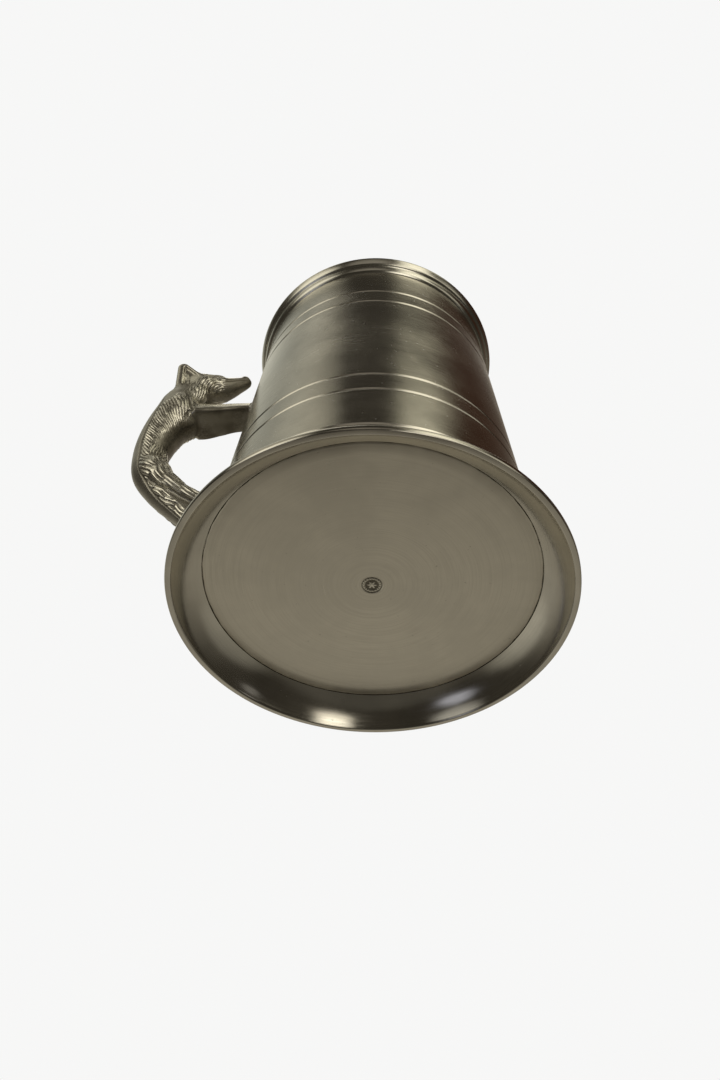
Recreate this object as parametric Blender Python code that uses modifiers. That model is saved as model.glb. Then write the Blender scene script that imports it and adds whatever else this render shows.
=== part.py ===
"""Pewter tankard with a cast fox for a handle.

Frame: metres, +Z up. The foot stands on z = 0, and the origin is the bottom centre of the
whole object's box. The handle points to -X, so the drum's axis lies a little way along +X.

A spun, tapered drum is closed by a base disc. A flared foot skirt is soldered round its
lower end and a turned rim band round its mouth. The fox is one solid casting: its forepaws,
hind paws and tail are soldered to the drum.
"""
import math

import bmesh
import bpy
from mathutils import Matrix, Vector

MM = 0.001

# Driving dimensions, in millimetres
HEIGHT = 125.0            # foot to lip
FOOT_RADIUS = 52.0        # widest part of the foot
HANDLE_REACH = 76.3       # drum axis to the fox's back
DRUM_BASE_RADIUS = 44.6   # drum outside, extended down to z = 0
DRUM_TAPER = 0.048        # radius lost for each millimetre of height
WALL = 1.25               # drum sheet
DISC_RADIUS = 43.8        # base disc
DISC_UNDERSIDE = 7.4      # height of the disc's underside over the table
DISC_THICKNESS = 1.5
NECK_TOP = 14.3           # upper edge of the foot skirt
LIP_RADIUS = 42.1         # outside of the flared lip
LIP_BORE = 37.7           # inside of the rim band
RIM_BOTTOM = 118.6        # lower edge of the rim band
GAP = 0.3                 # clearance that neighbouring solids keep
LINE_HEIGHTS = (33.5, 42.0, 93.8, 102.3)   # incised lines round the drum
LINE_DEPTH = 0.3
LINE_WIDTH = 0.9
TURNS = 64                # facets round each turned piece

AXIS_X = (HANDLE_REACH - FOOT_RADIUS) / 2


def drum_radius(z):
    """Outside radius of the tapered drum at height z, in millimetres."""
    return DRUM_BASE_RADIUS - DRUM_TAPER * z


def place(reach, z, side=0.0):
    """A point in the handle's frame: reach from the drum's axis, height, and side."""
    return Vector(((AXIS_X - reach) * MM, side * MM, z * MM))


def new_collection(name):
    collection = bpy.data.collections.new(name)
    bpy.context.scene.collection.children.link(collection)
    return collection


def pewter(name, colour, roughness):
    material = bpy.data.materials.new(name)
    material.use_nodes = True
    shader = material.node_tree.nodes["Principled BSDF"]
    shader.inputs["Base Color"].default_value = (*colour, 1.0)
    shader.inputs["Metallic"].default_value = 1.0
    shader.inputs["Roughness"].default_value = roughness
    material.diffuse_color = (*colour, 1.0)
    return material


def add_object(name, mesh, collection, material=None):
    item = bpy.data.objects.new(name, mesh)
    collection.objects.link(item)
    if material:
        mesh.materials.append(material)
    return item


def turned(name, profile, collection, material=None, closed=True):
    """Turn a profile of (radius, height) points, which runs down its outer side."""
    mesh = bpy.data.meshes.new(name)
    outline = bmesh.new()
    points = [outline.verts.new((radius * MM, 0.0, z * MM)) for radius, z in profile]
    for first, second in zip(points, points[1:]):
        outline.edges.new((first, second))
    if closed:
        outline.edges.new((points[-1], points[0]))
    outline.to_mesh(mesh)
    outline.free()
    item = add_object(name, mesh, collection, material)
    item.location.x = AXIS_X * MM
    screw = item.modifiers.new("Turn", "SCREW")
    screw.steps = TURNS
    screw.render_steps = TURNS
    screw.use_merge_vertices = True
    screw.merge_threshold = 0.00001
    screw.use_smooth_shade = True
    return item


def arc(centre, radius, start, end, steps):
    """Points on an arc in the (radius, height) plane, from start to end degrees."""
    points = []
    for step in range(steps + 1):
        angle = math.radians(start + (end - start) * step / steps)
        points.append((centre[0] + radius * math.cos(angle), centre[1] + radius * math.sin(angle)))
    return points


# ---------------------------------------------------------------- turned pieces

def make_drum(collection):
    top = RIM_BOTTOM + 4.6
    bottom = DISC_UNDERSIDE + DISC_THICKNESS + GAP
    profile = [(drum_radius(top), top)]
    for height in sorted(LINE_HEIGHTS, reverse=True):
        upper = height + LINE_WIDTH / 2
        lower = height - LINE_WIDTH / 2
        profile.append((drum_radius(upper), upper))
        profile.append((drum_radius(height) - LINE_DEPTH, height))
        profile.append((drum_radius(lower), lower))
    profile.append((drum_radius(bottom), bottom))
    profile.append((drum_radius(bottom) - WALL, bottom))
    profile.append((drum_radius(top) - WALL, top))
    return turned("drum", profile, collection, pewter("spun_pewter", (0.44, 0.42, 0.36), 0.28))


def make_base_disc(collection):
    """The floor of the drum, with a small round mark struck in its underside."""
    top = DISC_UNDERSIDE + DISC_THICKNESS
    edge = 0.2
    mark_radius = 2.7
    mark_depth = 0.25
    profile = [
        (0.0, top),
        (DISC_RADIUS - edge, top),
        (DISC_RADIUS, top - edge),
        (DISC_RADIUS, DISC_UNDERSIDE + edge),
        (DISC_RADIUS - edge, DISC_UNDERSIDE),
        (mark_radius, DISC_UNDERSIDE),
        (mark_radius - edge, DISC_UNDERSIDE + mark_depth),
        (0.0, DISC_UNDERSIDE + mark_depth),
    ]
    satin = pewter("satin_pewter", (0.40, 0.37, 0.31), 0.42)
    return turned("base_disc", profile, collection, satin, closed=False)


def make_foot_skirt(collection):
    """Flared skirt of spun sheet: a socket for the drum above, a cove over the table below."""
    bead_radius = 0.85
    bead_height = NECK_TOP - bead_radius
    socket = drum_radius(DISC_UNDERSIDE) + GAP
    socket_top = drum_radius(NECK_TOP) + GAP
    shoulder = DISC_UNDERSIDE + DISC_THICKNESS
    bead_centre = (socket_top + 0.45, bead_height)
    bead = arc(bead_centre, bead_radius, 90, -60, 5)
    flare = [(44.95, 12.2), (45.15, 10.4), (45.8, 7.6), (46.9, 5.2), (48.6, 3.3), (50.4, 2.2)]
    foot_edge = [(51.6, 1.75), (FOOT_RADIUS, 1.2), (FOOT_RADIUS, 0.5), (51.7, 0.0)]
    cove = [(50.3, 0.0), (49.6, 0.35), (48.3, 1.35), (46.7, 2.95), (45.4, 4.9), (44.5, 6.6)]
    bore = DISC_RADIUS + GAP
    bore_run = [(bore, DISC_UNDERSIDE), (bore, shoulder), (socket, shoulder), (socket_top, NECK_TOP)]
    profile = bead + flare + foot_edge + cove + bore_run
    return turned("foot_skirt", profile, collection, pewter("spun_pewter_foot", (0.42, 0.40, 0.34), 0.26))


def make_rim_band(collection):
    """Turned mouth ring: a flared lip, a groove, and a narrow second band."""
    seat = RIM_BOTTOM + 4.6 + GAP
    socket_top = drum_radius(seat) + GAP
    socket_low = drum_radius(RIM_BOTTOM) + GAP
    lip = arc((LIP_RADIUS - 0.6, HEIGHT - 0.6), 0.6, 90, 0, 3)
    outside = [
        (LIP_RADIUS - 0.35, 123.2),
        (40.95, 121.75),
        (40.35, 121.45),
        (40.3, 121.0),
        (40.45, 120.7),
        (40.1, 119.2),
        (39.65, RIM_BOTTOM),
    ]
    inside = [
        (socket_low, RIM_BOTTOM),
        (socket_top, seat),
        (LIP_BORE, seat),
        (LIP_BORE, 123.9),
        (LIP_BORE + 0.45, 124.7),
        (LIP_BORE + 1.2, HEIGHT),
    ]
    return turned("rim_band", lip + outside + inside, collection,
                  pewter("spun_pewter_rim", (0.46, 0.44, 0.37), 0.22))


def make_solder_seams(collection):
    """Three thin rings of solder: inside the base corner, over the neck, under the rim."""
    solder = pewter("solder_seam", (0.47, 0.45, 0.40), 0.35)
    floor = DISC_UNDERSIDE + DISC_THICKNESS + GAP
    leg = 1.9
    corner = drum_radius(floor) - WALL - GAP
    inner = [(corner - DRUM_TAPER * leg, floor + leg), (corner, floor), (corner - leg, floor)]
    turned("base_seam", inner, collection, solder)
    neck = NECK_TOP + GAP
    wall = drum_radius(neck) + GAP
    turned("neck_seam", [(wall, neck + 0.8), (wall + 0.55, neck), (wall, neck)], collection, solder)
    under_rim = RIM_BOTTOM - GAP
    wall = drum_radius(under_rim) + GAP
    turned("rim_seam", [(wall, under_rim), (wall + 0.55, under_rim), (wall, under_rim - 0.8)],
           collection, solder)


# ---------------------------------------------------------------- the fox casting

def tube(points, collection):
    """A round limb through (reach, z, side, radius) points, as a closed mesh object."""
    curve = bpy.data.curves.new("limb", "CURVE")
    curve.dimensions = "3D"
    curve.bevel_depth = MM
    curve.bevel_resolution = 4
    curve.resolution_u = 6
    curve.use_fill_caps = True
    spline = curve.splines.new("NURBS")
    spline.points.add(len(points) - 1)
    spline.use_endpoint_u = True
    spline.order_u = 3
    for target, (reach, z, side, radius) in zip(spline.points, points):
        target.co = (*place(reach, z, side), 1.0)
        target.radius = radius
    return meshed(curve, collection)


def meshed(curve, collection):
    """Turn a curve into a welded, closed mesh object, and drop the curve."""
    holder = add_object(curve.name, curve, collection)
    graph = bpy.context.evaluated_depsgraph_get()
    mesh = bpy.data.meshes.new_from_object(holder.evaluated_get(graph))
    item = add_object(curve.name, mesh, collection)
    item.matrix_world = holder.matrix_world
    bpy.data.objects.remove(holder)
    shape = bmesh.new()
    shape.from_mesh(mesh)
    bmesh.ops.remove_doubles(shape, verts=shape.verts, dist=0.00001)
    bmesh.ops.recalc_face_normals(shape, faces=shape.faces)
    shape.to_mesh(mesh)
    shape.free()
    return item


def ball(reach, z, side, radii, collection, tilt=0.0):
    """An ellipsoid: radii along reach, side and height, leaned by tilt degrees about Y."""
    shape = bmesh.new()
    bmesh.ops.create_uvsphere(shape, u_segments=24, v_segments=14, radius=MM)
    scale = Matrix.Diagonal((*radii, 1.0))
    lean = Matrix.Rotation(math.radians(tilt), 4, "Y")
    bmesh.ops.transform(shape, matrix=lean @ scale, verts=shape.verts)
    mesh = bpy.data.meshes.new("ball")
    shape.to_mesh(mesh)
    shape.free()
    item = add_object("ball", mesh, collection)
    item.location = place(reach, z, side)
    return item


def joined(name, pieces, collection, material):
    """One object that holds the meshes of all the pieces, in world places."""
    bpy.context.view_layer.update()
    shape = bmesh.new()
    for piece in pieces:
        start = len(shape.verts)
        shape.from_mesh(piece.data)
        shape.verts.ensure_lookup_table()
        bmesh.ops.transform(shape, matrix=piece.matrix_world, verts=shape.verts[start:])
        bpy.data.objects.remove(piece)
    mesh = bpy.data.meshes.new(name)
    shape.to_mesh(mesh)
    shape.free()
    return add_object(name, mesh, collection, material)


# Where each limb crosses the drum: centre height, side, half width and half height
FOREPAWS = (90.3, 0.0, 4.45, 2.6)
HIND_PAW = (35.1, 4.0, 1.9, 2.2)
TAIL_END = (24.9, 0.0, 3.1, 4.5)


def fox_pieces(collection):
    """The fox's rounded masses, before they are merged into one skin."""
    spine = [
        (60.0, 107.4, 0, 4.6), (65.0, 102.4, 0, 5.4), (66.4, 95.0, 0, 6.8), (66.8, 87.4, 0, 7.3),
        (68.2, 80.0, 0, 7.1), (69.3, 71.5, 0, 6.5), (69.3, 62.5, 0, 6.0), (67.4, 54.5, 0, 6.0),
        (63.2, 47.2, 0, 5.6), (58.4, 41.2, 0, 4.9), (53.6, 35.6, 0, 4.3), (48.6, 29.6, 0, 3.7),
        (43.8, 24.0, 0, 3.3), (38.5, 18.4, 0, 3.1),
    ]
    snout = [
        (59.0, 106.6, 0, 5.2), (55.5, 107.0, 0, 4.9), (52.6, 108.5, 0, 4.1), (49.7, 110.7, 0, 3.1),
        (47.5, 112.4, 0, 2.4), (46.6, 113.0, 0, 2.1),
    ]
    pieces = [tube(spine, collection), tube(snout, collection)]
    pieces.append(ball(46.6, 113.2, 0, (1.8, 2.1, 1.9), collection))
    pieces.append(ball(60.4, 107.4, 0, (6.4, 5.4, 5.7), collection, tilt=-15))
    pieces.append(ball(65.4, 89.0, 0, (6.4, 6.2, 8.6), collection))
    for side in (-1, 1):
        pieces.append(ball(66.6, 110.4, side * 3.9, (3.6, 1.7, 7.2), collection, tilt=-8))
        pieces.append(ball(57.6, 104.6, side * 2.6, (3.6, 3.0, 3.2), collection, tilt=-25))
        pieces.append(ball(63.6, 88.6, side * 3.7, (4.4, 3.4, 6.0), collection))
        pieces.append(ball(65.8, 54.6, side * 3.9, (4.6, 3.2, 6.6), collection, tilt=-35))
        foreleg = [
            (63.5, 88.8, side * 3.8, 3.9), (59.0, 86.6, side * 3.0, 3.7),
            (54.0, 87.6, side * 2.3, 3.2), (49.0, 89.2, side * 1.9, 2.7),
            (44.0, 90.0, side * 1.9, 2.6), (37.0, 90.6, side * 1.9, 2.6),
        ]
        hind_leg = [
            (66.0, 51.5, side * 3.8, 3.3), (60.5, 45.0, side * 4.0, 2.9),
            (55.0, 40.6, side * 4.0, 2.5), (49.5, 37.3, side * 4.0, 2.2),
            (44.0, 34.9, side * 4.0, 2.0), (38.0, 32.6, side * 4.0, 2.0),
        ]
        pieces += [tube(foreleg, collection), tube(hind_leg, collection)]
    return pieces


def make_fox_handle(collection, cutters):
    cast = pewter("cast_pewter", (0.36, 0.34, 0.29), 0.38)
    fox = joined("fox_handle", fox_pieces(collection), collection, cast)
    skin = fox.modifiers.new("Skin", "REMESH")
    skin.mode = "VOXEL"
    skin.voxel_size = 0.55 * MM
    skin.use_smooth_shade = True
    blend = fox.modifiers.new("Blend", "SMOOTH")
    blend.factor = 0.5
    blend.iterations = 5
    light = fox.modifiers.new("Lighten", "DECIMATE")
    light.ratio = 0.075
    clearance = [
        (0.0, HEIGHT),
        (drum_radius(HEIGHT) + GAP, HEIGHT),
        (drum_radius(0.0) + GAP, 0.0),
        (0.0, 0.0),
    ]
    cutter = turned("drum_clearance", clearance, cutters, closed=False)
    cutter.hide_render = True
    cutter.display_type = "WIRE"
    trim = fox.modifiers.new("Meet the drum", "BOOLEAN")
    trim.operation = "DIFFERENCE"
    trim.solver = "EXACT"
    trim.object = cutter
    return fox


def solder_bead(name, joint, collection, material):
    """A bead of solder laid on the drum round one paw, or round the pair of forepaws."""
    height, side, half_width, half_height = joint
    bead = 0.45
    spacing = bead + GAP + 0.2
    steps = 28
    curve = bpy.data.curves.new(name, "CURVE")
    curve.dimensions = "3D"
    curve.bevel_depth = bead * MM
    curve.bevel_resolution = 2
    spline = curve.splines.new("POLY")
    spline.points.add(steps - 1)
    spline.use_cyclic_u = True
    for step in range(steps):
        angle = 2 * math.pi * step / steps
        y = side + (half_width + spacing) * math.cos(angle)
        z = height + (half_height + spacing) * math.sin(angle)
        ring = drum_radius(z) + GAP + bead + 0.05
        spline.points[step].co = (*place(math.sqrt(ring * ring - y * y), z, y), 1.0)
    item = meshed(curve, collection)
    item.name = name
    item.data.name = name
    item.data.materials.append(material)
    return item


def make_handle_solder(collection):
    solder = pewter("solder_bead", (0.45, 0.43, 0.38), 0.36)
    height, side, half_width, half_height = HIND_PAW
    solder_bead("forepaw_solder", FOREPAWS, collection, solder)
    solder_bead("left_hind_paw_solder", (height, -side, half_width, half_height), collection, solder)
    solder_bead("right_hind_paw_solder", HIND_PAW, collection, solder)
    solder_bead("tail_solder", TAIL_END, collection, solder)


def main():
    for item in list(bpy.data.objects):
        bpy.data.objects.remove(item, do_unlink=True)
    tankard = new_collection("pewter_tankard")
    cutters = new_collection("pewter_tankard_cutters")
    make_drum(tankard)
    make_base_disc(tankard)
    make_foot_skirt(tankard)
    make_rim_band(tankard)
    make_solder_seams(tankard)
    make_fox_handle(tankard, cutters)
    make_handle_solder(tankard)


main()
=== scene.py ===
import itertools
import math

import bmesh
import bpy
import numpy as np
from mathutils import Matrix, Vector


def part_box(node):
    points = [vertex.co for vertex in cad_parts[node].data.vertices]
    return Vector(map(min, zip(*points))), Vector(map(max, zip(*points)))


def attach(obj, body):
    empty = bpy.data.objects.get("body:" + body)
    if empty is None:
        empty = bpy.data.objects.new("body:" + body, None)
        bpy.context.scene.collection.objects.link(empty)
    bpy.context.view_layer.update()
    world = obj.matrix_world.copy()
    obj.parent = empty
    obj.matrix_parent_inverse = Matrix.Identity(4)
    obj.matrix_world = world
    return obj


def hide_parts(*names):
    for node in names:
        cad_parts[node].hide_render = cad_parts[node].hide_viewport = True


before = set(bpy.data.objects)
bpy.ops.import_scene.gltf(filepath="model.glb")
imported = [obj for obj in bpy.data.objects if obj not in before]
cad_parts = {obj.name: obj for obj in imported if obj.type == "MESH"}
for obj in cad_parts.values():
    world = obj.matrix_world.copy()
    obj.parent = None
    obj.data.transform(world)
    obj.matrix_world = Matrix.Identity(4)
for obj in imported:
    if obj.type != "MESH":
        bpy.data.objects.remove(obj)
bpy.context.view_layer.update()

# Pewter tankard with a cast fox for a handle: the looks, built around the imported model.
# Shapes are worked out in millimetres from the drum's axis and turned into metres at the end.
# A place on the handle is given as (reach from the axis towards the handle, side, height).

import openvdb
from mathutils import Matrix, Vector
from mathutils.kdtree import KDTree

MM = 0.001

# ------------------ sizes read from the frame

DRUM_LOW, DRUM_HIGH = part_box("drum")
FOOT_LOW, FOOT_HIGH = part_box("foot_skirt")
RIM_LOW, RIM_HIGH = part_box("rim_band")
DISC_LOW, DISC_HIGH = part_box("base_disc")

AXIS_X = (FOOT_LOW.x + FOOT_HIGH.x) / 2
FOOT_RADIUS = (FOOT_HIGH.x - FOOT_LOW.x) / 2 / MM
LIP_RADIUS = (RIM_HIGH.x - RIM_LOW.x) / 2 / MM
HEIGHT = RIM_HIGH.z / MM
RIM_BOTTOM = RIM_LOW.z / MM
NECK_TOP = FOOT_HIGH.z / MM
DISC_RADIUS = (DISC_HIGH.x - DISC_LOW.x) / 2 / MM
DISC_UNDERSIDE = DISC_LOW.z / MM
DISC_TOP = DISC_HIGH.z / MM
DRUM_BOTTOM = DRUM_LOW.z / MM
DRUM_TOP = DRUM_HIGH.z / MM
DRUM_LOW_RADIUS = (DRUM_HIGH.x - DRUM_LOW.x) / 2 / MM
DRUM_TAPER = 0.048    # radius lost for each millimetre of height
WALL = 1.25           # thickness of the drum's wall
LIP_BORE = 37.7       # inside radius at the lip
LINE_HEIGHTS = (33.5, 42.0, 93.8, 102.3)


def drum_radius(z):
    """Outside radius of the tapered drum at height z."""
    return DRUM_LOW_RADIUS - DRUM_TAPER * (z - DRUM_BOTTOM)


# ------------------ camera and stage

def add_object(name, data):
    """A new object in the scene for a mesh, a camera or a light."""
    thing = bpy.data.objects.new(name, data)
    bpy.context.scene.collection.objects.link(thing)
    return thing


def make_camera():
    """The viewpoint: below the foot and in front of it, looking up at the base."""
    data = bpy.data.cameras.new("camera")
    data.lens = 26.70
    data.clip_start = 0.005
    camera = add_object("camera", data)
    heading, pitch, roll = math.radians(-1.0), math.radians(50.27), math.radians(2.01)
    forward = Vector((math.sin(heading) * math.cos(pitch), math.cos(heading) * math.cos(pitch),
                      math.sin(pitch)))
    level = Vector((math.cos(heading), -math.sin(heading), 0.0))
    above = level.cross(forward)
    right = level * math.cos(roll) + above * math.sin(roll)
    up = above * math.cos(roll) - level * math.sin(roll)
    camera.matrix_world = Matrix((right, up, -forward)).transposed().to_4x4()
    foot = FOOT_RADIUS * MM    # the camera's place is measured in foot radii
    camera.location = (AXIS_X - 0.020 * foot, -2.721 * foot, -2.778 * foot)
    bpy.context.scene.camera = camera
    bpy.context.scene.view_settings.view_transform = "Standard"


class Nodes:
    """Short calls for building a node tree."""

    def __init__(self, tree):
        self.tree = tree
        tree.nodes.clear()

    def add(self, kind, **settings):
        node = self.tree.nodes.new(kind)
        for name, value in settings.items():
            setattr(node, name, value)
        return node

    def link(self, source, target):
        self.tree.links.new(source, target)

    def put(self, socket, value):
        """Feed a socket with another node's output, or with a plain value."""
        if isinstance(value, bpy.types.NodeSocket):
            self.link(value, socket)
        else:
            socket.default_value = value

    def math(self, operation, first, second):
        node = self.add("ShaderNodeMath", operation=operation)
        self.put(node.inputs[0], first)
        self.put(node.inputs[1], second)
        return node.outputs[0]

    def vector(self, operation, first, second=(0.0, 0.0, 0.0)):
        node = self.add("ShaderNodeVectorMath", operation=operation)
        self.put(node.inputs[0], first)
        self.put(node.inputs[1], second)
        return node.outputs["Value" if operation in ("DOT_PRODUCT", "LENGTH") else "Vector"]

    def span(self, value, low, high, to_low=0.0, to_high=1.0, smooth=True):
        """Map a value from one range to another, smoothly and clamped."""
        node = self.add("ShaderNodeMapRange")
        node.interpolation_type = "SMOOTHSTEP" if smooth else "LINEAR"
        self.put(node.inputs["Value"], value)
        node.inputs["From Min"].default_value = low
        node.inputs["From Max"].default_value = high
        node.inputs["To Min"].default_value = to_low
        node.inputs["To Max"].default_value = to_high
        return node.outputs[0]

    def mix(self, factor, first, second):
        node = self.add("ShaderNodeMix", data_type="RGBA")
        self.put(node.inputs["Factor"], factor)
        self.put(node.inputs[6], first)
        self.put(node.inputs[7], second)
        return node.outputs[2]

    def noise(self, coordinates, scale, detail=2.0, roughness=0.5):
        node = self.add("ShaderNodeTexNoise")
        self.put(node.inputs["Vector"], coordinates)
        node.inputs["Scale"].default_value = scale
        node.inputs["Detail"].default_value = detail
        node.inputs["Roughness"].default_value = roughness
        return node.outputs["Fac"]


def new_material(name):
    """A material and its empty node tree."""
    material = bpy.data.materials.new(name)
    material.use_nodes = True
    return material, Nodes(material.node_tree)


def direction(azimuth, elevation):
    """A unit vector: azimuth 0 is towards -Y and 90 towards +X, elevation is upwards."""
    a, e = math.radians(azimuth), math.radians(elevation)
    return (math.sin(a) * math.cos(e), -math.cos(a) * math.cos(e), math.sin(e))


# Soft lamps and dark corners of the studio, in degrees and linear colour: (azimuth, elevation),
# half angle of the full light, half angle where it ends, colour. A negative colour darkens.
STUDIO_BASE = (0.042, 0.037, 0.029)
STUDIO_DARKEST = (0.012, 0.010, 0.008)
BACKDROP = (0.93, 0.93, 0.925, 1.0)
STUDIO = [
    ((180, -8), 10, 95, (0.275, 0.255, 0.21)),
    ((180, -38), 6, 24, (0.08, 0.077, 0.069)),
    ((180, -74), 8, 27, (-0.11, -0.104, -0.085)),
    ((-128, -30), 5, 28, (0.08, 0.08, 0.075)),
    ((-55, 51), 8, 21, (0.46, 0.44, 0.36)),
    ((-106, 60), 10, 26, (0.20, 0.205, 0.18)),
    ((-150, 48), 15, 40, (0.26, 0.26, 0.22)),
    ((180, 76), 8, 22, (0.95, 0.90, 0.79)),
    ((-92, 80), 4, 10, (0.85, 0.81, 0.68)),
    ((37, 50), 5, 19, (0.84, 0.81, 0.63)),
    ((100, 48), 14, 36, (0.0, -0.018, -0.018)),
    ((172, 48), 8, 24, (0.26, 0.21, 0.17)),
    ((-6, 16), 8, 20, (0.24, 0.22, 0.19)),
    ((28, 12), 9, 18, (1.40, 1.33, 1.12)),
    ((27, 32), 6, 13, (1.30, 1.24, 1.04)),
    ((54, 10), 8, 18, (0.60, 0.57, 0.48)),
    ((-48, 14), 11, 23, (1.20, 1.14, 0.96)),
    ((19, -12), 5, 13, (1.60, 1.52, 1.32)),
    ((20, -25), 4, 13, (1.30, 1.22, 1.05)),
    ((68, -14), 2, 7, (0.28, 0.27, 0.26)),
    ((-48, -10), 6, 17, (0.46, 0.45, 0.42)),
    ((-55, -38), 3, 12, (0.60, 0.62, 0.74)),
    ((0, -74), 16, 34, (0.05, 0.048, 0.042)),
    ((112, -43), 7, 23, (0.15, 0.145, 0.125)),
    ((-115, -39), 7, 23, (0.24, 0.232, 0.20)),
]


def make_world():
    """A studio seen only in reflections, with a plain near-white backdrop for the eye."""
    world = bpy.data.worlds.new("studio")
    bpy.context.scene.world = world
    world.use_nodes = True
    n = Nodes(world.node_tree)
    look = n.vector("NORMALIZE", n.add("ShaderNodeTexCoord").outputs["Generated"])
    total = None
    for (azimuth, elevation), inner, outer, glow in STUDIO:
        near = n.vector("DOT_PRODUCT", look, direction(azimuth, elevation))
        share = n.span(near, math.cos(math.radians(outer)), math.cos(math.radians(inner)))
        lit = n.vector("SCALE", glow)
        n.put(lit.node.inputs["Scale"], share)
        total = lit if total is None else n.vector("ADD", total, lit)
    total = n.vector("ADD", total, STUDIO_BASE)
    lamps = n.add("ShaderNodeBackground")
    n.put(lamps.inputs["Color"], n.vector("MAXIMUM", total, STUDIO_DARKEST))
    backdrop = n.add("ShaderNodeBackground")
    backdrop.inputs["Color"].default_value = BACKDROP
    path = n.add("ShaderNodeLightPath")
    choose = n.add("ShaderNodeMixShader")
    n.link(path.outputs["Is Camera Ray"], choose.inputs[0])
    n.link(lamps.outputs[0], choose.inputs[1])
    n.link(backdrop.outputs[0], choose.inputs[2])
    n.link(choose.outputs[0], n.add("ShaderNodeOutputWorld").inputs["Surface"])


def make_floor():
    """A pale floor under the foot, seen from above only, so that it never hides the base."""
    half_size, drop = 3.0, 0.0003
    mesh = bpy.data.meshes.new("floor")
    shape = bmesh.new()
    bmesh.ops.create_grid(shape, x_segments=1, y_segments=1, size=half_size)
    shape.to_mesh(mesh)
    shape.free()
    floor = add_object("floor", mesh)
    floor.location.z = -drop
    floor.visible_glossy = False
    floor.visible_diffuse = False
    floor.visible_shadow = False
    material, n = new_material("pale_floor")
    plain = n.add("ShaderNodeBsdfDiffuse")
    plain.inputs["Color"].default_value = (0.85, 0.86, 0.88, 1.0)
    clear = n.add("ShaderNodeBsdfTransparent")
    side = n.add("ShaderNodeMixShader")
    n.link(n.add("ShaderNodeNewGeometry").outputs["Backfacing"], side.inputs[0])
    n.link(plain.outputs[0], side.inputs[1])
    n.link(clear.outputs[0], side.inputs[2])
    n.link(side.outputs[0], n.add("ShaderNodeOutputMaterial").inputs["Surface"])
    mesh.materials.append(material)


def make_lamp():
    """A wide, soft sun that lights the floor and leaves the metal's reflections alone."""
    data = bpy.data.lights.new("softbox", "SUN")
    data.angle = math.radians(70)
    data.energy = 2.15
    lamp = add_object("softbox", data)
    lamp.location = (AXIS_X - 0.25, -0.2, 1.4)
    lamp.rotation_euler = Vector(lamp.location).to_track_quat("Z", "Y").to_euler()
    lamp.visible_glossy = False


# ------------------ materials
# Coordinates, pitches and noise scales are in millimetres.

def shade(colour, factor):
    """A colour made darker or lighter, with its alpha."""
    return (*[min(1.0, part * factor) for part in colour], 1.0)


def add_bump(n, height, strength, distance, normal=None):
    """The normal of a bumped surface, laid over another bump where one is given."""
    bump = n.add("ShaderNodeBump")
    bump.inputs["Strength"].default_value = strength
    bump.inputs["Distance"].default_value = distance
    n.link(height, bump.inputs["Height"])
    if normal is not None:
        n.link(normal, bump.inputs["Normal"])
    return bump.outputs[0]


def add_metal(n, colour, roughness, normal):
    """A metal shader on the material's output."""
    shader = n.add("ShaderNodeBsdfPrincipled")
    shader.inputs["Metallic"].default_value = 1.0
    n.put(shader.inputs["Base Color"], colour)
    n.put(shader.inputs["Roughness"], roughness)
    n.link(normal, shader.inputs["Normal"])
    n.link(shader.outputs[0], n.add("ShaderNodeOutputMaterial").inputs["Surface"])
    return shader


def axis_coordinates(n):
    """Object coordinates measured from the drum's axis, in millimetres: vector, radius, height."""
    position = n.add("ShaderNodeTexCoord").outputs["Object"]
    shifted = n.vector("SUBTRACT", position, (AXIS_X, 0.0, 0.0))
    scaled = n.vector("SCALE", shifted)
    scaled.node.inputs["Scale"].default_value = 1.0 / MM
    parts = n.add("ShaderNodeSeparateXYZ")
    n.link(scaled, parts.inputs[0])
    flat = n.add("ShaderNodeCombineXYZ")
    n.link(parts.outputs["X"], flat.inputs["X"])
    n.link(parts.outputs["Y"], flat.inputs["Y"])
    return scaled, n.vector("LENGTH", flat.outputs[0]), parts.outputs["Z"]


def ring_lines(n, radius, height, scaled):
    """Fine turning lines: noise that varies along the profile and hardly round the axis."""
    pitch = 0.30
    ring = n.add("ShaderNodeCombineXYZ")
    n.put(ring.inputs["X"], n.math("MULTIPLY", radius, 1.0 / pitch))
    n.put(ring.inputs["Y"], n.math("MULTIPLY", height, 1.0 / pitch))
    wander = n.noise(scaled, 0.03, 1.0)
    n.put(ring.inputs["Z"], n.math("MULTIPLY", wander, 6.0))
    return n.noise(ring.outputs[0], 1.0, 3.0, 0.6)


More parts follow.
